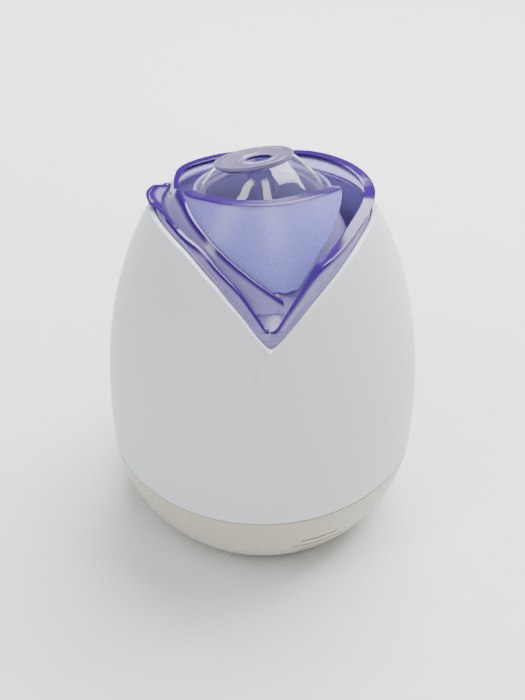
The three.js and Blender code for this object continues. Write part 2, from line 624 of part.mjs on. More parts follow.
function tankFloor() {
  const rim = outline(tankBottom) - TANK_WALL - FIT - facetSag;
  const skirtOuter = basinRadius - TANK_FLOOR.skirtInset;
  const skirtInner = skirtOuter - TANK_FLOOR.skirtWall;
  const skirtBottom = tankBottom - TANK_FLOOR.skirtDepth;
  const hole = MIST_TUBE.radius + FIT;
  const plate = turned([[hole, tankFloorTop], [hole, tankBottom], [skirtInner, tankBottom],
    [skirtInner, skirtBottom], [skirtOuter, skirtBottom], [skirtOuter, tankBottom], [rim, tankBottom],
    [rim, tankFloorTop]], LARGE);
  const spout = moved(rod(SPOUT.radius, spoutBottom, tankFloorTop), CAP.azimuth, capDistance);
  const mouth = moved(rod(SPOUT.radius - SPOUT.wall, 0, 2 * tankFloorTop), CAP.azimuth, capDistance);
  return carve([plate, spout], [mouth]);
}

function mistTube() {
  const bottom = tankBottom - MIST_TUBE.dip;
  const top = lidBottom + MIST_TUBE.below;
  const { radius, topRadius, wall, flange } = MIST_TUBE;
  const flangeBottom = tankFloorTop + FIT;
  const flangeTop = flangeBottom + wall;
  return turned([[radius - wall, bottom], [radius, bottom], [radius, flangeBottom],
    [radius + flange, flangeBottom], [radius + flange, flangeTop], [radius, flangeTop], [topRadius, top],
    [topRadius - wall, top], [radius - wall, flangeBottom]]);
}

// The cap and its valve are drawn about the cap's own axis.
function tankCap() {
  const floorTop = capBottom + CAP.floor;
  const cup = turned([[VALVE.seat, capBottom], [capOuter, capBottom], [capOuter, capTop], [capInner, capTop],
    [capInner, floorTop], [VALVE.seat, floorTop]]);
  const ribs = steps(CAP.ribs).map((i) =>
    rod(0.9, capBottom, capTop - 1, 6).translate(capOuter, 0, 0).rotateZ((2 * Math.PI * i) / CAP.ribs));
  const guideBore = VALVE.stem + FIT;
  const guide = ring(guideBore + GUIDE.wall, guideBore, capBottom, floorTop);
  const half = GUIDE.spoke / 2;
  const spokes = steps(3).map((i) =>
    block([-half, guideBore + 0.5, capBottom], [half, VALVE.seat + 1, floorTop]).rotateZ(radians(120 * i)));
  return carve([cup, guide, ...ribs, ...spokes]);
}

const capGasket = () =>
  ring(SPOUT.radius, SPOUT.radius - SPOUT.wall, gasketBottom, gasketBottom + GASKET.thickness);

function valvePlunger() {
  const bottom = capBottom - VALVE.tail;
  const flangeTop = bottom + VALVE.flangeThickness;
  const discTop = gasketBottom + VALVE.discThickness;
  return turned([[0, bottom], [VALVE.flange, bottom], [VALVE.flange, flangeTop], [VALVE.stem, flangeTop],
    [VALVE.stem, gasketBottom], [VALVE.disc, gasketBottom], [VALVE.disc, discTop], [0, discTop]]);
}

/** The helix of the valve spring, between the plunger's tail and the cap's guide. */
class Helix extends THREE.Curve {
  constructor(radius, bottom, top, turns) {
    super();
    Object.assign(this, { radius, bottom, top, turns });
  }

  getPoint(t) {
    return around(360 * this.turns * t, this.radius, mix(this.bottom, this.top, t));
  }
}

function valveSpring() {
  const bottom = capBottom - VALVE.tail + VALVE.flangeThickness + FIT + SPRING.wire;
  const path = new Helix(SPRING.radius, bottom, capBottom - FIT - SPRING.wire, SPRING.turns);
  const section = new THREE.Shape().absarc(0, 0, SPRING.wire, 0, 2 * Math.PI);
  const options = { steps: 8 * SPRING.turns, curveSegments: 3, extrudePath: path };
  return new THREE.ExtrudeGeometry(section, options);
}

// ---------------------------------------------------------------- lid

/** What the lid's walls follow: the outline, but straight down inside the neckline, so that it lifts off. */
const lidOutline = (azimuth, height) => outline(Math.max(height, neckline(azimuth)));
const wallTop = (azimuth) => Math.max(neckline(azimuth) + LID.rise, lidBottom + LID.notchRise);

/** The cone that rises from the foot of the lid's wall to the nozzle's collar. */
function coneRadius(azimuth, height) {
  const footHeight = lidBottom + LID.floor;
  const foot = lidOutline(azimuth, footHeight) - OUTER_INSET - LID.wall;
  return mix(foot, LID.collar, (height - footHeight) / (collarTop - footHeight));
}

function lidBase() {
  const collarInside = LID.collar - LID.collarWall;
  const hole = collarInside - LID.ledge;
  const lipTop = domeBottom + LID.lip;
  const coneFoot = lidBottom + LID.floor;
  const collar = [[LID.collar, collarTop], [LID.collar, lipTop], [collarInside, lipTop],
    [collarInside, domeBottom - FIT], [hole, domeBottom - FIT], [hole, collarTop - LID.floor],
    [collarInside, collarTop - LID.floor]];
  const section = (azimuth) => {
    const bend = Math.max(neckline(azimuth), coneFoot + 1);
    const wall = (inset) => (z) => [lidOutline(azimuth, z) - inset, z];
    const outside = [lidBottom, bend, wallTop(azimuth)].map(wall(OUTER_INSET));
    const inside = [wallTop(azimuth), bend, coneFoot].map(wall(OUTER_INSET + LID.wall));
    return [...outside, ...inside, ...collar];
  };
  return swept(section, fullTurn(), true);
}

/** A petal's section, its foot and rim given as [height, outer inset, wall]. It bends above the neckline. */
function petalSection(azimuth, foot, rim) {
  const leaves = (neckline(azimuth) - foot[0]) / (rim[0] - foot[0]);
  const bend = THREE.MathUtils.clamp(leaves, 0.2, 0.8);
  const shares = [0, bend / 2, ...spaced(bend, 1, 3)];
  const outer = shares.map((t) => {
    const height = mix(foot[0], rim[0], t);
    return [lidOutline(azimuth, height) - mix(foot[1], rim[1], t), height];
  });
  const walls = shares.map((t) => mix(foot[2], rim[2], t ** RIM_GROWTH));
  const inner = outer.map(([r, z], i) => [r - walls[i], z]).reverse();
  return [...outer, ...inner];
}

/** The height at which a petal at an inset stands on the cone. */
function standOnCone(azimuth, inset) {
  const clearance = (height) =>
    lidOutline(azimuth, height) - inset - PETAL_WALL - coneRadius(azimuth, height) - CONE_GAP;
  const step = 0.1;
  let height = lidBottom + LID.floor;
  while (clearance(height) < 0) height += step;
  return height;
}

function petalRight() {
  const p = RIGHT_PETAL;
  const [rimHeight, rimInset] = [p.rimHeight, p.rimInset].map(through);
  const [rimWidth, footInset] = [p.rimWidth, p.footInset].map(through);
  const footHeight = (azimuth) => {
    const onWall = wallTop(azimuth) + PETAL_GAP;
    const t = THREE.MathUtils.smoothstep(azimuth, RIGHT_PETAL_LEAVES_WALL, RIGHT_PETAL_ON_CONE);
    return mix(onWall, standOnCone(azimuth, INNER_INSET), t);
  };
  const section = (azimuth) => {
    const bottom = footHeight(azimuth);
    const top = Math.max(SEAM_HEIGHT + rimHeight(azimuth), bottom + 1);
    const rim = [top, rimInset(azimuth), rimWidth(azimuth)];
    return petalSection(azimuth, [bottom, footInset(azimuth), PETAL_WALL], rim);
  };
  return swept(section, stations(p.from, p.to), false);
}

function petalLeft() {
  const p = LEFT_PETAL;
  const [rimHeight, rimInset] = [p.rimHeight, p.rimInset].map(through);
  const section = (azimuth) => {
    const bottom = wallTop(azimuth) + PETAL_GAP;
    const top = Math.max(SEAM_HEIGHT + rimHeight(azimuth), bottom + 1);
    return petalSection(azimuth, [bottom, OUTER_INSET, PETAL_WALL], [top, rimInset(azimuth), PETAL_WALL]);
  };
  return swept(section, stations(p.from, p.to), false);
}

function petalFront() {
  const p = FRONT_PETAL;
  const [rimHeight, footRise] = [p.rimHeight, p.footRise].map(through);
  const section = (azimuth) => {
    const bottom = standOnCone(azimuth, FRONT_INSET) + footRise(azimuth);
    const top = SEAM_HEIGHT + rimHeight(azimuth);
    return petalSection(azimuth, [bottom, FRONT_INSET, PETAL_WALL], [top, FRONT_INSET, p.rimWidth]);
  };
  return swept(section, stations(p.from, p.to), false);
}

// ---------------------------------------------------------------- nozzle

/** The frame of the slanted disc: its underside's centre, its +X along the downhill direction. */
function discFrame(lift) {
  const turn = new THREE.Matrix4().makeRotationZ(radians(DISC.lean));
  const tilt = new THREE.Matrix4().makeRotationY(radians(DISC.tilt));
  const place = around(DISC.lean, DISC.offset, domeBottom + DISC.height);
  return new THREE.Matrix4().makeTranslation(place.x, place.y, place.z).multiply(turn).multiply(tilt)
    .multiply(new THREE.Matrix4().makeTranslation(0, 0, lift));
}

/** Everything above the slanted plane, lifted along its own normal. */
const aboveDisc = (lift) => block([-60, -60, 0], [60, 60, 60]).applyMatrix4(discFrame(lift));

function domeSide() {
  const radiusAt = through(DOME_OUTLINE);
  const heights = spaced(0, DOME_OUTLINE.at(-1)[0], 7);
  const outer = heights.map((z) => [radiusAt(z), domeBottom + z]);
  const inner = heights.map((z) => [radiusAt(z) - DOME.wall, domeBottom + z]).reverse();
  return turned([...outer, ...inner], 28);
}

const nozzleDome = () => carve([domeSide()], [aboveDisc(-FIT)]);

function ovalPrism(long, short, bottom, top) {
  const shape = new THREE.Shape().absellipse(0, 0, long, short, 0, 2 * Math.PI);
  return new THREE.ExtrudeGeometry(shape, { depth: top - bottom, bevelEnabled: false, curveSegments: 18 })
    .translate(0, 0, bottom);
}

function nozzleDisc() {
  const plate = ovalPrism(DISC.long, DISC.short, 0, DISC.thickness);
  const { long, short, offset, border, dip } = OUTLET;
  const over = DISC.thickness + 1;
  const dish = ovalPrism(long + border, short + border, DISC.thickness - dip, over);
  const hole = ovalPrism(long, short, -1, over);
  const cuts = [dish, hole].map((cut) => cut.translate(-offset, 0, 0));
  return carve([plate], cuts).applyMatrix4(discFrame(0));
}

function nozzleTube() {
  const tall = ring(NOZZLE_TUBE.radius, NOZZLE_TUBE.radius - NOZZLE_TUBE.wall, domeBottom + NOZZLE_TUBE.rise,
    domeBottom + 2 * DISC.height);
  return carve([tall], [aboveDisc(-FIT)]);
}

// ---------------------------------------------------------------- assembly

const humidifier = new THREE.Group();

function inFrame(frame, pieces) {
  const group = new THREE.Group();
  group.applyMatrix4(frame);
  group.add(...pieces);
  humidifier.add(group);
}

function addBase() {
  humidifier.add(piece("base_shell", baseShell(), "milkyGrey"));
  humidifier.add(piece("bottom_cover", bottomCover(), "milkyGrey"));
  humidifier.add(piece("deck", deck(), "innerPlastic"));
  humidifier.add(piece("basin", basin(), "innerPlastic"));
  steps(4).forEach((i) => {
    humidifier.add(pieceAt(`foot_${i + 1}`, foot(), "rubber", FOOT.azimuth + 90 * i, footCircle));
    const held = pieceAt(`cover_screw_${i + 1}`, screw(COVER_SCREW), "steel", 90 * i, screwCircle);
    held.position.z = FOOT.height + COVER_SCREW.headDepth + FIT;
    humidifier.add(held);
  });
  humidifier.add(piece("transducer_seal", transducerSeal(), "rubber"));
  humidifier.add(piece("transducer", transducer(), "ceramic"));
  humidifier.add(piece("transducer_clamp", transducerClamp(), "aluminium"));
  clampAzimuths().forEach((azimuth, i) => {
    const held = pieceAt(`clamp_screw_${i + 1}`, screw(CLAMP_SCREW), "steel", azimuth, CLAMP_SCREW.circle);
    held.position.z = clampBottom - FIT;
    humidifier.add(held);
  });
  humidifier.add(pieceAt("level_float", levelFloat(), "blackPlastic", FLOAT.azimuth, FLOAT.distance));
}

function addElectrics() {
  humidifier.add(pieceAt("fan_frame", fanFrame(), "blackPlastic", ...FAN_PLACE));
  humidifier.add(pieceAt("fan_rotor", fanRotor(), "blackPlastic", ...FAN_PLACE));
  humidifier.add(pieceAt("air_duct", airDuct(), "innerPlastic", ...FAN_PLACE));
  humidifier.add(piece("driver_board", driverBoard(), "board"));
  humidifier.add(piece("heat_sink", heatSink(), "aluminium"));
  inFrame(knobFrame, [piece("control_knob", controlKnob(), "milkyGrey"),
    piece("knob_shaft", knobShaft(), "steel"), piece("potentiometer", potentiometer(), "blackPlastic")]);
  inFrame(jackFrame, [piece("dc_jack", dcJack(), "blackPlastic")]);
}

function addTank() {
  humidifier.add(piece("body_shell", bodyShell(), "satinWhite"));
  humidifier.add(piece("tank_neck", tankNeck(), "lavender"));
  humidifier.add(piece("tank_floor", tankFloor(), "innerPlastic"));
  humidifier.add(piece("mist_tube", mistTube(), "innerPlastic"));
  humidifier.add(pieceAt("tank_cap", tankCap(), "innerPlastic", CAP.azimuth, capDistance));
  humidifier.add(pieceAt("cap_gasket", capGasket(), "rubber", CAP.azimuth, capDistance));
  humidifier.add(pieceAt("valve_plunger", valvePlunger(), "blackPlastic", CAP.azimuth, capDistance));
  humidifier.add(pieceAt("valve_spring", valveSpring(), "steel", CAP.azimuth, capDistance));
}

function addLid() {
  humidifier.add(piece("lid_base", lidBase(), "lavender"));
  humidifier.add(piece("petal_right", petalRight(), "violet"));
  humidifier.add(piece("petal_left", petalLeft(), "violet"));
  humidifier.add(piece("petal_front", petalFront(), "lavender"));
  humidifier.add(piece("nozzle_dome", nozzleDome(), "clear"));
  humidifier.add(piece("nozzle_disc", nozzleDisc(), "violet"));
  humidifier.add(piece("nozzle_tube", nozzleTube(), "clear"));
}

addBase();
addElectrics();
addTank();
addLid();

export default humidifier;
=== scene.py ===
import json
import math

import bpy
from mathutils import Matrix, Vector


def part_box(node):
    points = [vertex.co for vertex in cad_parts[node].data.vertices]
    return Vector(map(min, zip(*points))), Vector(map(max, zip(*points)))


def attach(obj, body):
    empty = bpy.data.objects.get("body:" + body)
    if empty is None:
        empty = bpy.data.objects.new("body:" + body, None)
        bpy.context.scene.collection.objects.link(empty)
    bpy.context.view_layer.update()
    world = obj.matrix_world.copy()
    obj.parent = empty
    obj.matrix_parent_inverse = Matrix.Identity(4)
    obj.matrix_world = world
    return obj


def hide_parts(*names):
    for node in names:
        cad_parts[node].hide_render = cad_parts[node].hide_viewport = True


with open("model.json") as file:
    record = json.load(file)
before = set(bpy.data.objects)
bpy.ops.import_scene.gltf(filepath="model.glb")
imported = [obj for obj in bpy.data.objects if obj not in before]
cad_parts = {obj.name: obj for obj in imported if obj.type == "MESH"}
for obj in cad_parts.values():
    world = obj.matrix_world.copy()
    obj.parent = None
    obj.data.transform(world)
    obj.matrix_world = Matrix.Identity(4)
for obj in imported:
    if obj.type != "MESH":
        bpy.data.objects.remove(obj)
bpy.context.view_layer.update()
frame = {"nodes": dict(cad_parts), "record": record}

MM = 0.001

# ---------------------------------------------------------------- sizes, in millimetres, as in the CAD model

FIT = 0.3
BODY_RADIUS = 99.3
SEAM_HEIGHT = 62
BASE_DROP = 90
BASE_POWER = 2
CROWN_RISE = 193
CROWN_POWER = 2.15
SEAM_GAP = 0.5
BASE_WALL = 2.5
TANK_WALL = 2.6

# Degrees away from the front notch, and height above the seam.
NOTCH_AZIMUTH = 273
NOTCH_ROUND = 1.2
NECKLINE_RIGHT = [(0, 111), (3, 115), (8, 121.5), (13, 127.5), (20, 134), (29, 140.3), (38, 145.3),
                  (50, 149.7), (65, 152), (80, 152.4), (130, 150), (180, 149)]
NECKLINE_LEFT = [(0, 111), (3, 115.5), (9, 125), (15, 132), (22, 138.9), (36, 147.7), (47, 151.2),
                 (59, 153.2), (77, 153.9), (120, 152), (180, 149)]

LID_SEAT = 114.5
LID_WALL = 2
LID_CLEARANCE = 0.4
LID_RISE = 1.5
LID_NOTCH_RISE = 3.5
LID_FLOOR = 2
COLLAR_RADIUS = 38
COLLAR_WALL = 2
COLLAR_LEDGE = 5
COLLAR_HEIGHT = 156
COLLAR_LIP = 2.6
NECK_HEIGHT = 13
NECK_WALL = 2.2
NECK_REST = 2.5

DOME_FOOT = 3
DOME_WALL = 1.6
DOME_REACH = 34
DOME_OUTLINE = [(0, 35.5), (3, 34.5), (7, 31.3), (11, 27.3), (15, 22.9), (20.5, 15.3), (28, 5)]
DISC_TILT = 12
DISC_LEAN = 140
DISC_OFFSET = 6.2
DISC_HEIGHT = 16.2
DISC_LONG = 22
DISC_SHORT = 21.4
DISC_THICKNESS = 2
DISC_EDGE = 0.5
DISC_FACE_INSET = 1.6
OUTLET_LONG = 6.6
OUTLET_SHORT = 6
OUTLET_OFFSET = 4
OUTLET_BORDER = 4
OUTLET_DIP = 0.8
TUBE_RADIUS = 8.2
TUBE_WALL = 1.2
TUBE_RISE = 1

# The petals. Every list is (azimuth, value) along the petal's sweep.
PETAL_GAP = FIT
PETAL_WALL = 2
RIM_GROWTH = 2.2
CONE_GAP = 0.7
OUTER_INSET = TANK_WALL + LID_CLEARANCE
INNER_INSET = 7
FRONT_INSET = 11
RIGHT_SWEEP = (273, 639)
RIGHT_RIM_HEIGHT = [(272, 117), (276, 121.5), (280, 128), (288, 138), (295, 144.6), (304, 148),
                    (311, 150.4), (319, 153), (331, 156), (350, 159), (365, 159.5), (380, 161),
                    (395, 162), (420, 161.5), (440, 159.5), (480, 159), (500, 159.5), (520, 160.5),
                    (540, 161), (549, 163), (568, 162.6), (582, 159.5), (596, 155), (608, 149.8),
                    (620, 143.3), (630, 136.8), (639, 130)]
RIGHT_RIM_INSET = [(272, 1), (319, 1), (331, 0), (350, -3), (365, -4.8), (380, -6.2), (395, -6.4),
                   (420, -6), (440, -4.3), (480, -3.8), (500, -2.4), (510, 0), (520, 3.6), (535, 7.6),
                   (549, 8.4), (639, 8)]
RIGHT_RIM_WIDTH = [(272, 1.5), (280, 2.5), (290, 4.5), (305, 5.8), (320, 6.3), (480, 6.5), (510, 4.5),
                   (535, 2.6), (560, 2), (639, 1.8)]
RIGHT_FOOT_INSET = [(272, 3), (470, 3), (500, 5.7), (525, 7), (639, 7)]
RIGHT_LEAVES_WALL = 531
RIGHT_ON_CONE = 560
LEFT_SWEEP = (159, 272.5)
LEFT_RIM_HEIGHT = [(159, 154.5), (164, 156), (171, 158.5), (180, 158.5), (190, 156.5), (201, 155.3),
                   (218, 155.3), (228, 153.6), (240, 150.7), (249, 145.3), (260, 136.8), (266, 128.6),
                   (272.5, 117.5)]
LEFT_RIM_INSET = [(159, 1.5), (164, -1), (171, -4), (180, -5.7), (188, -3), (196, 0.5), (205, 2.5),
                  (225, 3), (272.5, 3)]
FRONT_SWEEP = (195, 350)
FRONT_RIM_WIDTH = 6.5
FRONT_RIM_HEIGHT = [(196, 164), (206, 165), (225, 167.2), (243, 168.2), (270, 169), (299, 169.2),
                    (320, 168.5), (338, 166.5), (350, 164.5)]
FRONT_FOOT_RISE = [(196, 0), (279, 0), (285, 5.1), (291, 10.5), (297, 15), (303, 18.8), (313, 21.8),
                   (319, 23.9), (330, 26.6), (350, 30)]

lid_bottom = SEAM_HEIGHT + LID_SEAT
neck_top = lid_bottom - FIT
collar_top = SEAM_HEIGHT + COLLAR_HEIGHT
dome_bottom = collar_top + DOME_FOOT
cone_foot = lid_bottom + LID_FLOOR

# ---------------------------------------------------------------- the outline


def outline(height):
    """Radius of the object's outline at a height."""
    above = height >= SEAM_HEIGHT
    share = (height - SEAM_HEIGHT) / CROWN_RISE if above else (SEAM_HEIGHT - height) / BASE_DROP
    return BODY_RADIUS * math.sqrt(1 - share ** (CROWN_POWER if above else BASE_POWER))


def mix(a, b, t):
    return a + (b - a) * t


def smooth(x, low, high):
    t = min(max((x - low) / (high - low), 0), 1)
    return t * t * (3 - 2 * t)


def through(points):
    """A smooth function through (x, y) points."""
    def slope(i):
        a, b = points[max(i - 1, 0)], points[min(i + 1, len(points) - 1)]
        return (b[1] - a[1]) / (b[0] - a[0])

    def value(x):
        if x <= points[0][0]:
            return points[0][1]
        if x >= points[-1][0]:
            return points[-1][1]
        i = next(k for k, point in enumerate(points) if point[0] >= x)
        (xa, ya), (xb, yb) = points[i - 1], points[i]
        t = (x - xa) / (xb - xa)
        rise = ya * (2 * t ** 3 - 3 * t ** 2 + 1) + yb * (3 * t ** 2 - 2 * t ** 3)
        return rise + (xb - xa) * (slope(i - 1) * (t ** 3 - 2 * t ** 2 + t) + slope(i) * (t ** 3 - t ** 2))

    return value


neckline_right = through(NECKLINE_RIGHT)
neckline_left = through(NECKLINE_LEFT)


def neckline(azimuth):
    away = (azimuth - NOTCH_AZIMUTH + 540) % 360 - 180
    side = neckline_right if away >= 0 else neckline_left
    return SEAM_HEIGHT + side(math.hypot(away, NOTCH_ROUND) - NOTCH_ROUND)


def lid_outline(azimuth, height):
    """What the lid's walls follow: the outline, but straight down inside the neckline."""
    return outline(max(height, neckline(azimuth)))


def wall_top(azimuth):
    return max(neckline(azimuth) + LID_RISE, lid_bottom + LID_NOTCH_RISE)


def cone_radius(azimuth, height):
    foot = lid_outline(azimuth, cone_foot) - OUTER_INSET - LID_WALL
    return mix(foot, COLLAR_RADIUS, (height - cone_foot) / (collar_top - cone_foot))


def stand_on_cone(azimuth, inset):
    """The height at which a petal at an inset stands on the cone."""
    height = cone_foot
    while lid_outline(azimuth, height) - inset - PETAL_WALL < cone_radius(azimuth, height) + CONE_GAP:
        height += 0.02
    return height


def place(azimuth, radius, height):
    a = math.radians(azimuth)
    return (radius * math.cos(a) * MM, radius * math.sin(a) * MM, height * MM)


def spaced(a, b, count):
    return [mix(a, b, i / count) for i in range(count + 1)]


# ---------------------------------------------------------------- meshes

# Painted shade: the mesh attribute that says how much of the darker rim colour a vertex is painted with.
RIM_SHADE = "rim"


def new_piece(name, vertices, faces, material, body, node, angle=40, rim=None):
    """A smooth-shaded mesh that rides on a body and stands for a CAD node. rim is how much painted rim shade
    each vertex takes, from 0 to 1."""
    mesh = bpy.data.meshes.new(name)
    mesh.from_pydata(vertices, [], faces)
    mesh.materials.append(material)
    if rim:
        mesh.attributes.new(RIM_SHADE, "FLOAT", "POINT").data.foreach_set("value", rim)
    piece = bpy.data.objects.new(name, mesh)
    bpy.context.scene.collection.objects.link(piece)
    mesh.shade_smooth()
    mesh.set_sharp_from_angle(angle=math.radians(angle))
    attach(piece, body)
    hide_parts(node)
    return piece


def swept(section_at, azimuths, closed):
    """Vertices and faces of a section loop of (radius, height) swept through azimuths."""
    sections = [section_at(azimuth) for azimuth in azimuths]
    count = len(sections[0])
    vertices = [place(azimuth, r, z) for azimuth, section in zip(azimuths, sections) for r, z in section]
    faces = []
    for i in range(len(azimuths) if closed else len(azimuths) - 1):
        here, there = i * count, (i + 1) % len(azimuths) * count
        faces += [(here + j, there + j, there + (j + 1) % count, here + (j + 1) % count)
                  for j in range(count)]
    if not closed:
        last = (len(azimuths) - 1) * count
        faces += end_cap(0, count, False) + end_cap(last, count, True)
    return vertices, faces


def end_cap(first, count, flip):
    """Closes the end of a swept wall with quads between its outer and inner lines."""
    quads = [(j, j + 1, count - 2 - j, count - 1 - j) for j in range(count // 2 - 1)]
    return [tuple(first + k for k in (reversed(quad) if flip else quad)) for quad in quads]


def round_wall(outer, inner, top_edge, bottom_edge, arc=3):
    """A section from an outer and an inner line, both from the bottom up, with rounded top and bottom edges.
    It has as many points outside, from the bottom up, as it then has inside, from the top down."""
    outside = (corner(inner[0], outer[0], outer[1], bottom_edge, arc) + list(outer[1:-1])
               + corner(outer[-2], outer[-1], inner[-1], top_edge, arc))
    inside = (corner(inner[1], inner[0], outer[0], bottom_edge, arc)[::-1] + list(inner[1:-1])
              + corner(outer[-1], inner[-1], inner[-2], top_edge, arc)[::-1])
    return outside + inside[::-1]


def corner(before, at, after, radius, arc):
    """A corner rounded off: points on a curve that leaves both of its sides at the radius."""
    def towards(target):
        dx, dz = target[0] - at[0], target[1] - at[1]
        length = math.hypot(dx, dz) or 1
        reach = min(radius, 0.49 * length)
        return at[0] + dx / length * reach, at[1] + dz / length * reach

    a, b = towards(before), towards(after)
    points = []
    for t in spaced(0, 1, arc):
        u = 1 - t
        points.append(tuple(u * u * p + 2 * u * t * q + t * t * r for p, q, r in zip(a, at, b)))
    return points


# ---------------------------------------------------------------- materials


def material(name):
    made = bpy.data.materials.new(name)
    made.use_nodes = True
    return made, made.node_tree, made.node_tree.nodes["Principled BSDF"]


def noise(tree, scale, detail=3, roughness=0.5):
    coordinates = tree.nodes.new("ShaderNodeTexCoord")
    texture = tree.nodes.new("ShaderNodeTexNoise")
    texture.inputs["Scale"].default_value = scale
    texture.inputs["Detail"].default_value = detail
    texture.inputs["Roughness"].default_value = roughness
    tree.links.new(coordinates.outputs["Object"], texture.inputs["Vector"])
    return texture.outputs["Fac"]


def ramp(tree, value, low, high, start=0.3, end=0.7):
    node = tree.nodes.new("ShaderNodeMapRange")
    node.inputs["From Min"].default_value = start
    node.inputs["From Max"].default_value = end
    node.inputs["To Min"].default_value = low
    node.inputs["To Max"].default_value = high
    tree.links.new(value, node.inputs["Value"])
    return node.outputs["Result"]


def blend_colours(tree, value, first, second):
    node = tree.nodes.new("ShaderNodeMix")
    node.data_type = "RGBA"
    node.inputs["A"].default_value = (*first, 1)
    node.inputs["B"].default_value = (*second, 1)
    tree.links.new(value, node.inputs["Factor"])
    return node.outputs["Result"]


def bump(tree, shader, value, distance):
    node = tree.nodes.new("ShaderNodeBump")
    node.inputs["Strength"].default_value = 1
    node.inputs["Distance"].default_value = distance
    tree.links.new(value, node.inputs["Height"])
    tree.links.new(node.outputs["Normal"], shader.inputs["Normal"])


def plastic(name, first, second, roughness, grain=900, depth=0.00002, spread=0.06, patch=14, **sockets):
    """Moulded plastic: a slow drift of colour, a fine grain in the surface, and uneven gloss."""
    made, tree, shader = material(name)
    drift = ramp(tree, noise(tree, patch, 2), 0, 1)
    tree.links.new(blend_colours(tree, drift, first, second), shader.inputs["Base Color"])
    fine = noise(tree, grain, 4, 0.6)
    tree.links.new(ramp(tree, fine, roughness - spread, roughness + spread), shader.inputs["Roughness"])
    bump(tree, shader, fine, depth)
    for socket, value in sockets.items():
        shader.inputs[socket.replace("_", " ")].default_value = value
    return made


def tinted(name, face, rim, roughness, grain, depth, density, clarity=0.6, rim_clarity=0.25):
    """Clear or frosted dyed plastic: it lets light through, is darker where it is thick, and has painted
    shade, a darker violet that lets less light through, at its rim.
    """
    made, tree, shader = material(name)
    # Painted shade at the rim: vertices weighted by the rim attribute get the darker rim colour and let less
    # light through.
    painted_rim_shade = tree.nodes.new("ShaderNodeAttribute")
    painted_rim_shade.attribute_name = RIM_SHADE
    drift = ramp(tree, noise(tree, 25, 2), 0, 1)
    body = blend_colours(tree, drift, tuple(c * 0.94 for c in face), face)
    mixed = tree.nodes.new("ShaderNodeMix")
    mixed.data_type = "RGBA"
    mixed.inputs["B"].default_value = (*rim, 1)
    tree.links.new(painted_rim_shade.outputs["Fac"], mixed.inputs["Factor"])
    tree.links.new(body, mixed.inputs["A"])
    tree.links.new(mixed.outputs["Result"], shader.inputs["Base Color"])
    tree.links.new(ramp(tree, painted_rim_shade.outputs["Fac"], clarity, rim_clarity, 0, 1),
                   shader.inputs["Transmission Weight"])
    fine = noise(tree, grain, 3, 0.6)
    tree.links.new(ramp(tree, fine, roughness * 0.75, roughness * 1.25), shader.inputs["Roughness"])
    bump(tree, shader, fine, depth)
    shader.inputs["IOR"].default_value = 1.49
    dye = tree.nodes.new("ShaderNodeVolumeAbsorption")
    dye.inputs["Color"].default_value = (0.62, 0.3, 0.9, 1)
    dye.inputs["Density"].default_value = density
    tree.links.new(dye.outputs["Volume"], tree.nodes["Material Output"].inputs["Volume"])
    return made


def metal(name, first, second, roughness, grain=1500, depth=0.00002):
    return plastic(name, first, second, roughness, grain, depth, 0.08, 60, Metallic=1.0)


SATIN_WHITE = plastic("satin_white", (0.64, 0.68, 0.70), (0.61, 0.65, 0.67), 0.42, 1400, 0.000012, 0.05, 9,
                      Coat_Weight=0.08, Coat_Roughness=0.3)
# Painted shade and painted reflection: the base's colour is darker and warmer than the tank's, for the shade
# on its downward-facing bowl and warm light reflected from below.
BASE_PAINTED_SHADE = plastic("base_painted_shade", (0.50, 0.48, 0.38), (0.46, 0.44, 0.34), 0.26, 1100, 0.00001, 0.05, 11,
                     Subsurface_Weight=0.25, Subsurface_Scale=0.006)
LID_TINT = (0.60, 0.54, 0.95)
FROST_TINT = (0.36, 0.35, 0.93)
DISC_TINT = (0.80, 0.76, 0.99)
CLEAR_TINT = (0.86, 0.83, 1.0)
TUBE_TINT = (0.62, 0.52, 0.97)
# Painted shade: the dark violet painted at rims and edges, in place of light lost along the plastic's longer
# path there and the shade in the gaps between petals.
RIM_SHADE_COLOUR = (0.035, 0.004, 0.16)
PETAL_FROSTED = tinted("frosted_lavender", FROST_TINT, RIM_SHADE_COLOUR, 0.3, 1900, 0.00005, 50, 0.5, 0.12)
PETAL_CLEAR = tinted("petal_lavender", LID_TINT, RIM_SHADE_COLOUR, 0.14, 300, 0.00003, 30, 0.7, 0.12)
LAVENDER = tinted("clear_lavender", LID_TINT, RIM_SHADE_COLOUR, 0.12, 260, 0.00002, 20)
DISC_VIOLET = tinted("disc_violet", DISC_TINT, RIM_SHADE_COLOUR, 0.06, 200, 0.00002, 60, 0.85, 0.1)
CLEAR = tinted("clear_nozzle", CLEAR_TINT, RIM_SHADE_COLOUR, 0.03, 160, 0.00001, 12, 0.96)
TUBE_VIOLET = tinted("tube_violet", TUBE_TINT, RIM_SHADE_COLOUR, 0.03, 160, 0.00001, 250, 0.96)
INNER_PLASTIC = plastic("inner_plastic", (0.74, 0.76, 0.77), (0.70, 0.72, 0.73), 0.45, 900, 0.00002)
BLACK_PLASTIC = plastic("black_plastic", (0.025, 0.025, 0.028), (0.04, 0.04, 0.044), 0.5, 1200, 0.00003)
FLOAT_BLUE = plastic("float_blue", (0.2, 0.38, 0.58), (0.26, 0.45, 0.64), 0.7, 600, 0.00008)
RUBBER = plastic("rubber_grey", (0.05, 0.05, 0.055), (0.08, 0.08, 0.085), 0.8, 900, 0.00005)
SILICONE = plastic("silicone_white", (0.7, 0.7, 0.68), (0.62, 0.62, 0.6), 0.5, 700, 0.00003)
STEEL = metal("screw_steel", (0.58, 0.59, 0.61), (0.5, 0.51, 0.53), 0.3)
SPRING_STEEL = metal("spring_steel", (0.6, 0.6, 0.62), (0.46, 0.46, 0.48), 0.25)
ALUMINIUM = metal("sink_aluminium", (0.72, 0.73, 0.75), (0.64, 0.65, 0.67), 0.38)
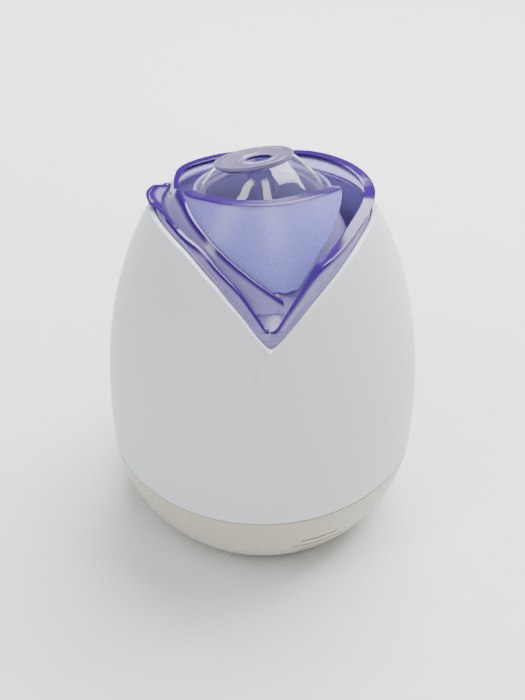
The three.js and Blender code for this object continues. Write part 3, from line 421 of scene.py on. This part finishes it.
BOARD_GREEN = plastic("board_green", (0.03, 0.16, 0.07), (0.05, 0.22, 0.1), 0.35, 500, 0.00002)
CERAMIC = plastic("disc_ceramic", (0.72, 0.55, 0.3), (0.62, 0.46, 0.24), 0.25, 800, 0.00002)

SLOT_MATERIALS = {
    "tank_white": SATIN_WHITE, "base_grey": BASE_PAINTED_SHADE, "petal_frosted": PETAL_FROSTED,
    "lid_clear": LAVENDER, "nozzle_clear": CLEAR, "disc_violet": DISC_VIOLET,
    "inner_plastic": INNER_PLASTIC, "black_plastic": BLACK_PLASTIC, "float_blue": FLOAT_BLUE,
    "rubber_grey": RUBBER, "silicone_white": SILICONE, "screw_steel": STEEL,
    "spring_steel": SPRING_STEEL, "sink_aluminium": ALUMINIUM, "board_green": BOARD_GREEN,
    "disc_ceramic": CERAMIC,
}

# ---------------------------------------------------------------- camera, floor and light

CAMERA_PLACE = (0, -0.3592, 0.3812)
CAMERA_PITCH = 36.8
CAMERA_LENS = 36
CAMERA_SENSOR = 36
WORLD_STRENGTH = 0.16
FLOOR_HALF = 6
# The floor's glow, from strength NEAR to FAR, between these distances from the middle, in metres.
FLOOR_GLOW_NEAR = 0.0
FLOOR_GLOW_FAR = 2.2
FLOOR_NEAR = 0.05
FLOOR_FAR = 1.8


def make_camera():
    data = bpy.data.cameras.new("camera")
    data.lens = CAMERA_LENS
    data.sensor_width = CAMERA_SENSOR
    data.clip_start = 0.01
    camera = bpy.data.objects.new("camera", data)
    bpy.context.scene.collection.objects.link(camera)
    camera.location = CAMERA_PLACE
    camera.rotation_euler = (math.radians(90 - CAMERA_PITCH), 0, 0)
    bpy.context.scene.camera = camera


def make_floor():
    made, tree, shader = material("pale_floor")
    fine = noise(tree, 60, 3)
    tree.links.new(blend_colours(tree, ramp(tree, fine, 0, 1), (0.84, 0.84, 0.84), (0.81, 0.81, 0.81)),
                   shader.inputs["Base Color"])
    shader.inputs["Roughness"].default_value = 0.9
    shader.inputs["Emission Color"].default_value = (1, 1, 1, 1)
    coordinates = tree.nodes.new("ShaderNodeTexCoord")
    distance = tree.nodes.new("ShaderNodeVectorMath")
    distance.operation = "LENGTH"
    tree.links.new(coordinates.outputs["Object"], distance.inputs[0])
    glow = ramp(tree, distance.outputs["Value"], FLOOR_GLOW_NEAR, FLOOR_GLOW_FAR, FLOOR_NEAR, FLOOR_FAR)
    tree.links.new(glow, shader.inputs["Emission Strength"])
    mesh = bpy.data.meshes.new("floor")
    half = FLOOR_HALF
    corners = [(-half, -half, 0), (half, -half, 0), (half, half, 0), (-half, half, 0)]
    mesh.from_pydata(corners, [], [(0, 1, 2, 3)])
    mesh.materials.append(made)
    floor = bpy.data.objects.new("floor", mesh)
    bpy.context.scene.collection.objects.link(floor)
    floor.location.z = -0.0005


def area_light(name, centre, target, size, power):
    data = bpy.data.lights.new(name, "AREA")
    data.shape = "RECTANGLE"
    data.size, data.size_y = size
    data.energy = power
    light = bpy.data.objects.new(name, data)
    bpy.context.scene.collection.objects.link(light)
    light.location = centre
    light.rotation_euler = (Vector(target) - Vector(centre)).to_track_quat("-Z", "Y").to_euler()


def make_light():
    world = bpy.data.worlds.new("studio")
    bpy.context.scene.world = world
    world.use_nodes = True
    world.node_tree.nodes["Background"].inputs["Color"].default_value = (1, 1, 1, 1)
    world.node_tree.nodes["Background"].inputs["Strength"].default_value = WORLD_STRENGTH
    middle = (0, 0, 0.22)
    area_light("window_left", (-0.73, -0.44, 1.22), middle, (0.26, 1.1), 8)
    area_light("window_right", (0.21, -0.68, 1.32), middle, (0.26, 1.1), 8)
    area_light("soft_top", (0.45, 0.6, 1.5), middle, (1.6, 1.2), 85)


make_camera()
make_floor()
make_light()

# ---------------------------------------------------------------- tank shell


def turn_azimuths(fine, coarse):
    """Azimuths of a full turn from the notch: fine steps around the front, coarse ones elsewhere."""
    front = 40
    right = [i * fine for i in range(int(front / fine))]
    rest = [front + i * coarse for i in range(int((360 - 2 * front) / coarse))]
    left = [360 - front + i * fine for i in range(int(front / fine))]
    return [NOTCH_AZIMUTH + away for away in right + rest + left]


# The crease that runs down from the notch: height above the seam, azimuth, and how proud it stands.
CREASE_AZIMUTH = through([(66, 261), (75.5, 262), (84.8, 264), (93.8, 267), (104.3, 270.2), (111.5, 272.6)])
CREASE_BOTTOM = 62
CREASE_TOP = 112
CREASE_PROUD = 1.7
CREASE_HALF_WIDTH = 0.9


def crease(azimuth, height):
    above = height - SEAM_HEIGHT
    if not CREASE_BOTTOM < above < CREASE_TOP + 4:
        return 0
    away = math.radians(azimuth % 360 - CREASE_AZIMUTH(above)) * outline(height)
    fade = smooth(above, CREASE_BOTTOM, CREASE_TOP)
    return CREASE_PROUD * fade * math.exp(-(away / (CREASE_HALF_WIDTH * (0.6 + 0.6 * fade))) ** 2)


def tank_section(azimuth):
    bottom, top = SEAM_HEIGHT + SEAM_GAP / 2, neckline(azimuth)
    heights = [mix(top, bottom, (1 - t) ** 1.15) for t in spaced(0, 1, 90)]
    outer = [(outline(z) - 0.05 + crease(azimuth, z), z) for z in heights]
    inner = [(outline(z) - TANK_WALL, z) for z in heights]
    return round_wall(outer, inner, 0.9, 0.6, 4)


def make_tank_shell():
    vertices, faces = swept(tank_section, turn_azimuths(0.5, 2), True)
    new_piece("tank_shell", vertices, faces, SATIN_WHITE, "tank", "body_shell", 60)


make_tank_shell()

# ---------------------------------------------------------------- base shell

# Air slots: azimuth of the middle, height, half-angle.
# The knob's and the jack's holes: azimuth, height, radius.
SLOTS = [(291, 40, 7), (291, 33, 10.5), (292.5, 25.5, 8.5)]
SLOT_HEIGHT = 1.4
ROUND_HOLES = [(90, 28, 3.6), (118, 24, 5.2)]


def cutter(vertices, faces):
    mesh = bpy.data.meshes.new("cutter")
    mesh.from_pydata(vertices, [], faces)
    shape = bpy.data.objects.new("cutter", mesh)
    bpy.context.scene.collection.objects.link(shape)
    return shape


def slot_cutter(azimuth, height, half_angle):
    outer, inner, half = outline(height) + BASE_WALL, outline(height) - 3 * BASE_WALL, SLOT_HEIGHT / 2
    section = [(outer, height - half), (outer, height + half), (inner, height + half), (inner, height - half)]
    return cutter(*swept(lambda a: section, spaced(azimuth - half_angle, azimuth + half_angle, 24), False))


def hole_cutter(azimuth, height, radius):
    slope = outline(height + 0.5) - outline(height - 0.5)
    out = Vector(place(azimuth, 1, -slope)).normalized()
    centre = Vector(place(azimuth, outline(height), height))
    side = Vector(place(azimuth + 90, 1, 0)).normalized()
    up = out.cross(side)
    count = 40
    turns = [2 * math.pi * i / count for i in range(count)]
    vertices = [centre + 3 * BASE_WALL * MM * end * out
                + radius * MM * (math.cos(t) * side + math.sin(t) * up)
                for end in (-1, 1) for t in turns]
    sides = [(i, (i + 1) % count, count + (i + 1) % count, count + i) for i in range(count)]
    return cutter(vertices, [*sides, tuple(reversed(range(count))), tuple(range(count, 2 * count))])


def cut_away(piece, shape):
    """Cuts a shape out of a piece for good."""
    cut = piece.modifiers.new("cut", "BOOLEAN")
    cut.object = shape
    cut.solver = "EXACT"
    bpy.context.view_layer.update()
    result = bpy.data.meshes.new_from_object(piece.evaluated_get(bpy.context.evaluated_depsgraph_get()))
    piece.modifiers.clear()
    piece.data = result
    bpy.data.objects.remove(shape)


def make_base_shell():
    low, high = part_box("base_shell")
    bottom, top = low.z / MM, high.z / MM
    heights = spaced(bottom, top, 40)
    outer = [(outline(z), z) for z in heights]
    inner = [(outline(z) - BASE_WALL, z) for z in heights]
    section = round_wall(outer, inner, 0.5, 1.0, 4)
    vertices, faces = swept(lambda azimuth: section, spaced(0, 358.5, 239), True)
    bowl = new_piece("base_bowl", vertices, faces, BASE_PAINTED_SHADE, "base", "base_shell", 60)
    for shape in [*(slot_cutter(*slot) for slot in SLOTS), *(hole_cutter(*hole) for hole in ROUND_HOLES)]:
        cut_away(bowl, shape)


make_base_shell()

# ---------------------------------------------------------------- tank neck


def make_tank_neck():
    bottom, shelf_bottom = neck_top - NECK_HEIGHT, neck_top - NECK_WALL
    highest = SEAM_HEIGHT + max(height for _, height in NECKLINE_LEFT)
    hole = outline(highest) - OUTER_INSET - LID_WALL - NECK_REST
    outer = [(outline(z) - OUTER_INSET, z) for z in spaced(bottom, neck_top, 6)]
    under = [(outline(z) - OUTER_INSET - NECK_WALL, z) for z in spaced(bottom, shelf_bottom, 5)]
    section = (outer[:-1] + corner(outer[-2], outer[-1], (hole, neck_top), 0.4, 3)
               + corner(outer[-1], (hole, neck_top), (hole, shelf_bottom), 0.6, 3)
               + corner((hole, neck_top), (hole, shelf_bottom), under[-1], 0.6, 3)
               + corner((hole, shelf_bottom), under[-1], under[-2], 0.8, 3) + under[-2::-1])
    vertices, faces = swept(lambda azimuth: section, spaced(0, 358, 179), True)
    new_piece("neck_ring", vertices, faces, LAVENDER, "tank", "tank_neck")


make_tank_neck()

# ---------------------------------------------------------------- lid


def make_lid():
    inside, lip_top = COLLAR_RADIUS - COLLAR_WALL, dome_bottom + COLLAR_LIP
    hole, under = inside - COLLAR_LEDGE, collar_top - LID_FLOOR
    seat = dome_bottom - FIT

    def section(azimuth):
        bend, top = max(neckline(azimuth), cone_foot + 1), wall_top(azimuth)
        above = spaced(bend, top, 3)[1:]
        outside = [(lid_outline(azimuth, z) - OUTER_INSET, z) for z in spaced(lid_bottom, bend, 6) + above]
        down = above[::-1] + spaced(bend, cone_foot, 6)[:-1]
        back = [(lid_outline(azimuth, z) - OUTER_INSET - LID_WALL, z) for z in down]
        foot = (cone_radius(azimuth, cone_foot), cone_foot)
        cone = (COLLAR_RADIUS, collar_top)
        return (outside[:-1] + corner(outside[-2], outside[-1], back[0], 0.5, 3)
                + corner(outside[-1], back[0], back[1], 0.5, 3) + back[1:]
                + corner(back[-1], foot, cone, 1.2, 3) + corner(foot, cone, (COLLAR_RADIUS, lip_top), 1.5, 4)
                + corner(cone, (COLLAR_RADIUS, lip_top), (inside, lip_top), 0.7, 3)
                + corner((COLLAR_RADIUS, lip_top), (inside, lip_top), (inside, seat), 0.7, 3)
                + corner((inside, lip_top), (inside, seat), (hole, seat), 0.5, 2)
                + corner((inside, seat), (hole, seat), (hole, under), 0.5, 2)
                + corner((hole, seat), (hole, under), (inside, under), 0.5, 2) + [(inside, under)])

    azimuths = turn_azimuths(1, 2.5)
    vertices, faces = swept(section, azimuths, True)
    new_piece("lid_shell", vertices, faces, LAVENDER, "lid", "lid_base")


def petal_section(azimuth, foot, rim, edge):
    """A petal's section, foot and rim given as (height, outer inset, wall), with a rounded rim."""
    bend = min(max((neckline(azimuth) - foot[0]) / (rim[0] - foot[0]), 0.2), 0.8)
    shares = spaced(0, bend, 6) + spaced(bend, 1, 14)[1:]
    heights = [mix(foot[0], rim[0], t) for t in shares]
    outer = [(lid_outline(azimuth, z) - mix(foot[1], rim[1], t), z) for z, t in zip(heights, shares)]
    inner = [(r - mix(foot[2], rim[2], t ** RIM_GROWTH), z) for (r, z), t in zip(outer, shares)]
    return round_wall(outer, inner, min(edge, rim[2] * 0.45), 0.25, 5)


def rim_shade_weights(vertices, azimuths, rim_at, reach):
    """How much painted rim shade each vertex of a swept petal takes, fading out a reach below the top."""
    count = len(vertices) // len(azimuths)
    return [smooth(z / MM, rim_at(azimuths[i // count]) - reach, rim_at(azimuths[i // count]) - 0.25 * reach)
            for i, (_, _, z) in enumerate(vertices)]


def make_petal(name, node, look, sweep, foot_at, rim_at, edge, reach):
    def section(azimuth):
        foot, rim = foot_at(azimuth), rim_at(azimuth)
        return petal_section(azimuth, foot, (max(rim[0], foot[0] + 1), *rim[1:]), edge)

    azimuths = spaced(*sweep, int(sweep[1] - sweep[0]))
    vertices, faces = swept(section, azimuths, False)
    rim = rim_shade_weights(vertices, azimuths, lambda azimuth: rim_at(azimuth)[0], reach)
    new_piece(name, vertices, faces, look, "lid", node, 60, rim)


def make_right_petal():
    height, inset, width, foot_inset = map(through, (RIGHT_RIM_HEIGHT, RIGHT_RIM_INSET, RIGHT_RIM_WIDTH,
                                                     RIGHT_FOOT_INSET))

    def foot(azimuth):
        on_wall = wall_top(azimuth) + PETAL_GAP
        down = smooth(azimuth, RIGHT_LEAVES_WALL, RIGHT_ON_CONE)
        return mix(on_wall, stand_on_cone(azimuth, INNER_INSET), down), foot_inset(azimuth), PETAL_WALL

    make_petal("petal_right_glass", "petal_right", PETAL_CLEAR, RIGHT_SWEEP, foot,
               lambda a: (SEAM_HEIGHT + height(a), inset(a), width(a)), edge=1.6, reach=4.5)


def make_left_petal():
    height, inset = through(LEFT_RIM_HEIGHT), through(LEFT_RIM_INSET)
    make_petal("petal_left_glass", "petal_left", PETAL_CLEAR, LEFT_SWEEP,
               lambda a: (wall_top(a) + PETAL_GAP, OUTER_INSET, PETAL_WALL),
               lambda a: (SEAM_HEIGHT + height(a), inset(a), PETAL_WALL), edge=0.9, reach=3.5)


def make_front_petal():
    height, foot_rise = through(FRONT_RIM_HEIGHT), through(FRONT_FOOT_RISE)
    make_petal("petal_front_glass", "petal_front", PETAL_FROSTED, FRONT_SWEEP,
               lambda a: (stand_on_cone(a, FRONT_INSET) + foot_rise(a), FRONT_INSET, PETAL_WALL),
               lambda a: (SEAM_HEIGHT + height(a), FRONT_INSET, FRONT_RIM_WIDTH), edge=1.2, reach=1.6)


make_lid()
make_right_petal()
make_left_petal()
make_front_petal()

# ---------------------------------------------------------------- nozzle


def disc_frame(lift=0):
    """The frame of the slanted disc: its underside's centre, its +X along the downhill direction."""
    turn = Matrix.Rotation(math.radians(DISC_LEAN), 4, "Z")
    tilt = Matrix.Rotation(math.radians(DISC_TILT), 4, "Y")
    centre = Matrix.Translation(place(DISC_LEAN, DISC_OFFSET, dome_bottom + DISC_HEIGHT))
    return centre @ turn @ tilt @ Matrix.Translation((0, 0, lift * MM))


def cut_height(x, y, lift):
    """The height of the disc's plane, lifted along its own normal, over a point given in millimetres."""
    frame_at = disc_frame(lift)
    normal, point = frame_at.to_3x3() @ Vector((0, 0, 1)), frame_at.translation / MM
    return point.z - (normal.x * (x - point.x) + normal.y * (y - point.y)) / normal.z


def cut_profile(radius_at, azimuth, low, high):
    """Height at which a side wall, given by its radius at a height, meets the slanted plane."""
    a = math.radians(azimuth)
    for _ in range(40):
        middle = (low + high) / 2
        r = radius_at(middle)
        below = middle < cut_height(r * math.cos(a), r * math.sin(a), -FIT)
        low, high = (middle, high) if below else (low, middle)
    return low


def make_dome():
    radius = through(DOME_OUTLINE)

    def section(azimuth):
        tops = [cut_profile(lambda z: radius(z - dome_bottom) - wall, azimuth, dome_bottom,
                            dome_bottom + DOME_REACH)
                for wall in (0, DOME_WALL)]
        outer, inner = [[(radius(z - dome_bottom) - wall, z) for z in spaced(dome_bottom, top, 24)]
                        for wall, top in zip((0, DOME_WALL), tops)]
        return round_wall(outer, inner, 0.3, 0.5, 3)

    vertices, faces = swept(section, spaced(0, 357.5, 143), True)
    new_piece("dome_glass", vertices, faces, CLEAR, "nozzle", "nozzle_dome")


def make_nozzle_tube():
    bottom = dome_bottom + TUBE_RISE

    def section(azimuth):
        lines = []
        for r in (TUBE_RADIUS, TUBE_RADIUS - TUBE_WALL):
            top = cut_profile(lambda z, r=r: r, azimuth, bottom, dome_bottom + DOME_REACH)
            lines.append([(r, z) for z in spaced(bottom, top, 6)])
        return round_wall(*lines, 0.2, 0.5, 3)

    vertices, faces = swept(section, spaced(0, 355, 71), True)
    new_piece("tube_glass", vertices, faces, TUBE_VIOLET, "nozzle", "nozzle_tube")


def make_disc():
    """An oval plate with a rounded edge, and a shallow oval dish around its outlet."""
    long_dish, short_dish = OUTLET_LONG + OUTLET_BORDER, OUTLET_SHORT + OUTLET_BORDER
    top, dish = DISC_THICKNESS, DISC_THICKNESS - OUTLET_DIP
    count = 96
    rings = []

    def ring(long, short, z, shift):
        rings.append([(long * math.cos(t) - shift, short * math.sin(t), z)
                      for t in (2 * math.pi * i / count for i in range(count))])

    edge = DISC_EDGE
    ring(DISC_LONG - DISC_FACE_INSET, DISC_SHORT - DISC_FACE_INSET, 0, 0)
    for t in spaced(0, math.pi / 2, 4):
        ring(DISC_LONG - edge + edge * math.sin(t), DISC_SHORT - edge + edge * math.sin(t),
             edge - edge * math.cos(t), 0)
    for t in spaced(0, math.pi / 2, 4):
        ring(DISC_LONG - edge + edge * math.cos(t), DISC_SHORT - edge + edge * math.cos(t),
             DISC_THICKNESS - edge + edge * math.sin(t), 0)
    ring(DISC_LONG - DISC_FACE_INSET, DISC_SHORT - DISC_FACE_INSET, DISC_THICKNESS, 0)
    outer_rings = len(rings)
    for grow, z in ((0.8, top), (0.3, top - 0.1), (0, top - 0.4), (-0.6, dish)):
        ring(long_dish + grow, short_dish + grow, z, OUTLET_OFFSET)
    flat_rings = len(rings)
    for grow, z in ((0.5, dish), (0.1, dish - 0.1), (0, dish - 0.5), (0, 0.4), (0.3, 0)):
        ring(OUTLET_LONG + grow, OUTLET_SHORT + grow, z, OUTLET_OFFSET)
    vertices = [point for ring_points in rings for point in ring_points]

    # Painted shade: the rounded outer edge is painted mostly dark violet, the dish's sloping ring partly, and
    # the outlet's wall fully, as shade inside the hole.
    def rim_shade_share(i):
        if 0 < i < outer_rings - 1:
            return 0.85
        if i >= flat_rings:
            return 1
        return 0.35 if i == outer_rings + 2 else 0

    rim = [rim_shade_share(i) for i in range(len(rings)) for _ in range(count)]
    faces = []
    for i in range(len(rings)):
        here, there = i * count, (i + 1) % len(rings) * count
        faces += [(here + j, here + (j + 1) % count, there + (j + 1) % count, there + j)
                  for j in range(count)]
    at = disc_frame()
    placed = [tuple(at @ Vector([c * MM for c in point])) for point in vertices]
    new_piece("outlet_disc", placed, faces, DISC_VIOLET, "nozzle", "nozzle_disc", 50, rim)


make_dome()
make_nozzle_tube()
make_disc()

# ---------------------------------------------------------------- carried-over CAD pieces


def finish_cad_nodes():
    slots = {part["node"]: part["material_slot"] for part in frame["record"]["subparts"]}
    for name, node in frame["nodes"].items():
        if node.hide_render:
            continue
        node.data.materials.clear()
        node.data.materials.append(SLOT_MATERIALS[slots[name]])
        node.data.shade_smooth()
        node.data.set_sharp_from_angle(angle=math.radians(35))
        bevel = node.modifiers.new("soft_edges", "BEVEL")
        bevel.width = 0.0002
        bevel.segments = 2
        bevel.limit_method = "ANGLE"
        bevel.angle_limit = math.radians(40)
        bevel.harden_normals = True


finish_cad_nodes()
